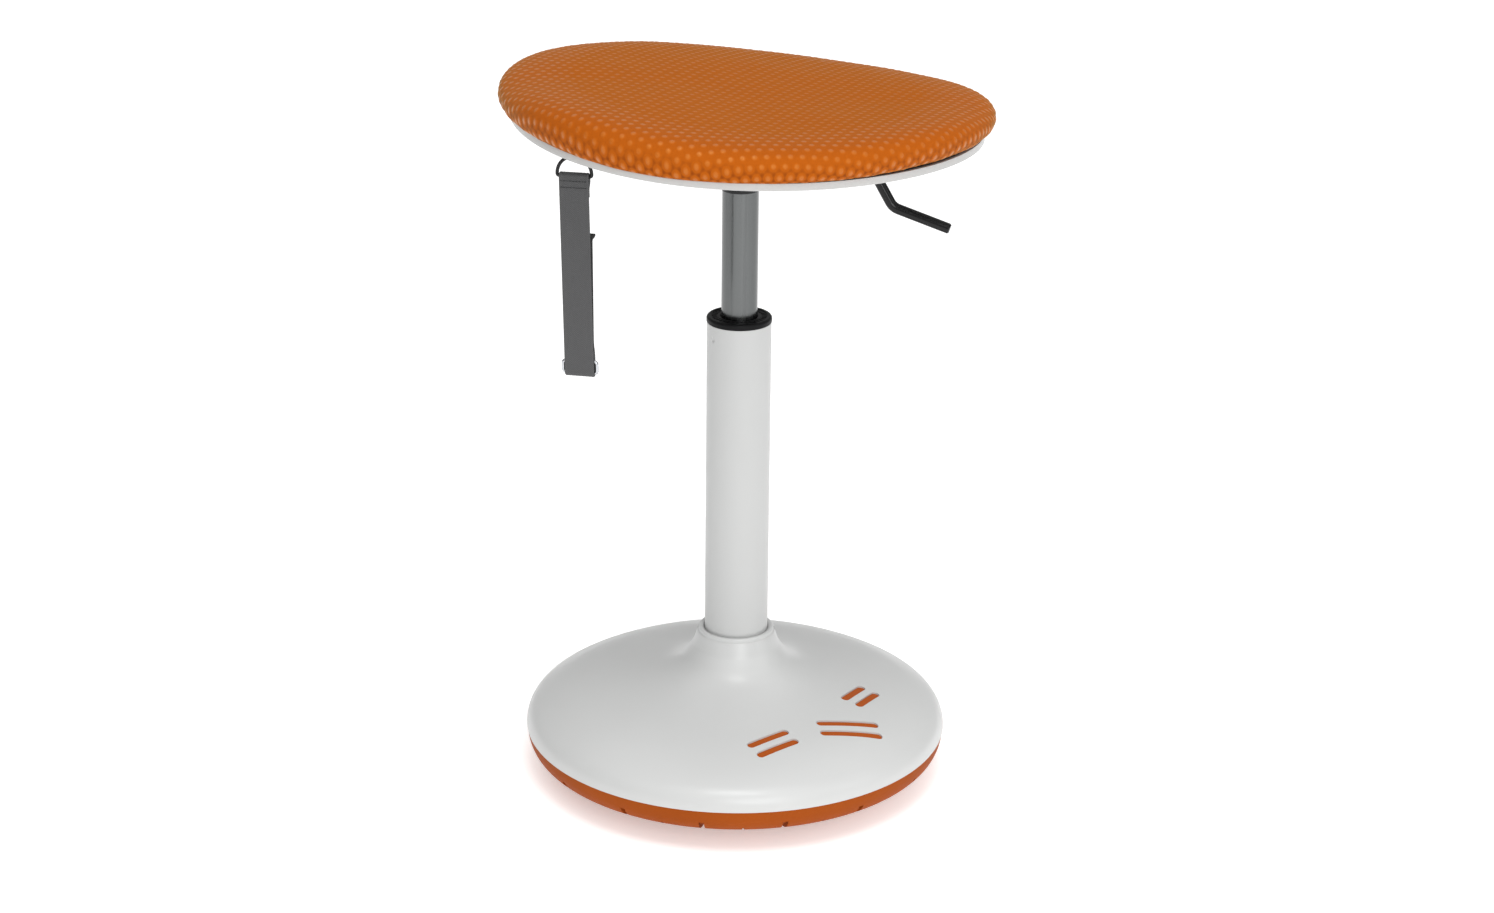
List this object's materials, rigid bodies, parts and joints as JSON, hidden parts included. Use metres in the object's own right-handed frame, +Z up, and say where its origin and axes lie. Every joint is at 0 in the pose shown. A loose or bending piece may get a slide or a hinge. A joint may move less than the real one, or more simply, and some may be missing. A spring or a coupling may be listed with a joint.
{
  "type": "active sitting stool",
  "caption": "Height-adjustable active sitting stool with a padded saddle-curved seat, gas-spring column, carry strap and a rounded rubber rocking foot.",
  "frame": {"origin": "centre of the flat disc under the rocking foot, on the floor and on the column's axis", "axes": "+Z up along the column; +X towards the low, narrow end of the seat; -Y the side with the strap and the lever"},
  "size_m": [0.3722, 0.3748, 0.5708],
  "materials": {
    "rubber_orange": "matt textured rubber",
    "plastic_dark": "moulded",
    "iron": "painted casting",
    "zinc_screw": "zinc plated",
    "white_plastic": "satin gloss, fine grain",
    "orange_plastic": "satin",
    "steel": "machined",
    "white_paint": "powder coat, satin",
    "black_plastic": "fine texture",
    "ball_steel": "polished",
    "rod_chrome": "hard chrome",
    "rubber_black": "matt",
    "cyl_grey": "satin grey",
    "black_steel": "satin black powder coat",
    "board": "moulded",
    "foam": "open cell foam",
    "mesh_orange": "embossed honeycomb mesh",
    "webbing": "woven grey webbing",
    "ring_black": "black wire",
    "ring_chrome": "polished wire"
  },
  "bodies": {
    "base": {"rocker_foot": "rubber_orange", "base_frame": "plastic_dark", "ballast_ring": "iron", "ballast_screws": "zinc_screw", "base_cover": "white_plastic", "cover_screws": "zinc_screw", "inlay_left": "orange_plastic", "inlay_centre": "orange_plastic", "inlay_right": "orange_plastic", "column_socket": "steel", "outer_tube": "white_paint", "guide_bush": "black_plastic", "lower_thrust_washer": "steel", "bearing_balls": "ball_steel", "ball_cage": "black_plastic"},
    "rod": {"upper_thrust_washer": "steel", "piston_rod": "rod_chrome", "piston": "steel", "rod_clip": "steel", "bump_stop": "rubber_black"},
    "seat": {"gas_cylinder": "cyl_grey", "rod_guide_seal": "black_plastic", "taper_hub": "black_steel", "mechanism_housing": "black_steel", "pivot_pin": "zinc_screw", "seat_shell": "white_plastic", "seat_board": "board", "t_nuts": "zinc_screw", "seat_screws": "zinc_screw", "shell_screws": "zinc_screw", "seat_foam": "foam", "seat_cover": "mesh_orange", "strap_anchor": "black_plastic", "anchor_screws": "zinc_screw"},
    "valve": {"release_pin": "steel"},
    "lever": {"lever_rocker": "black_plastic", "lever_bar": "black_steel"},
    "ring": {"d_ring": "ring_black"},
    "strap": {"carry_strap": "webbing", "strap_ring": "ring_chrome"}
  },
  "joints": [
    {"name": "seat_swivel", "type": "hinge", "parent": "base", "child": "rod", "pos_m": [0, 0, 0.027], "axis": [0, 0, 1], "continuous": true},
    {"name": "gas_lift", "type": "slide", "parent": "rod", "child": "seat", "axis": [0, 0, 1], "range_m": [-0.095, 0.1]},
    {"name": "lever_pull", "type": "hinge", "parent": "seat", "child": "lever", "pos_m": [0.02705, -0.00725, 0.5055], "axis": [-0.2588, -0.9659, 0], "range_deg": [0, 6], "stiffness_Nm_per_rad": 2.5, "springref_deg": -6.88},
    {"name": "valve_press", "type": "slide", "parent": "seat", "child": "valve", "axis": [0, 0, -1], "range_m": [0, 0.0031]},
    {"name": "ring_swing", "type": "hinge", "parent": "seat", "child": "ring", "pos_m": [-0.1206, -0.1, 0.5311], "axis": [0.9701, -0.2419, 0.0209], "range_deg": [-50, 50]},
    {"name": "strap_swing", "type": "hinge", "parent": "ring", "child": "strap", "pos_m": [-0.1203, -0.10007, 0.5165], "axis": [0.9701, -0.2419, 0.0209], "range_deg": [-35, 35]}
  ],
  "couplings": [
    {"joint": "valve_press", "follows": "lever_pull", "m_per_rad": 0.028}
  ]
}
